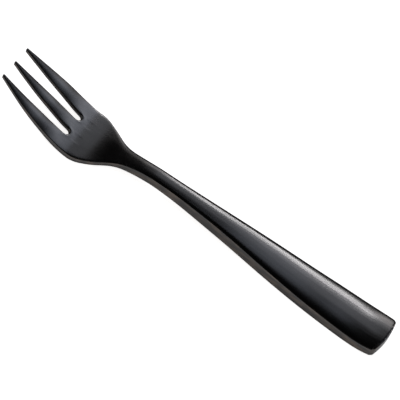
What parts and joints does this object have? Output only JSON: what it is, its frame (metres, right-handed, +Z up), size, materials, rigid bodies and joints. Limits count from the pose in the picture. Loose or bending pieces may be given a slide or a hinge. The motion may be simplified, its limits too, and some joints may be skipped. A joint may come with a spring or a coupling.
{
  "type": "dessert fork",
  "caption": "Slim dessert fork with a flared flat handle, narrow arched neck, shallow curved head and tapering upswept tines, in black coated satin steel.",
  "frame": {"origin": "middle of the bounding box in plan, on the table plane that the fork lies on", "axes": "+Y from the end of the handle to the tips, +Z up from the table, X across the fork"},
  "size_m": [0.0222, 0.15, 0.0122],
  "materials": {
    "black_steel": "satin"
  },
  "bodies": {
    "root": {"fork": "black_steel"}
  },
  "joints": []
}
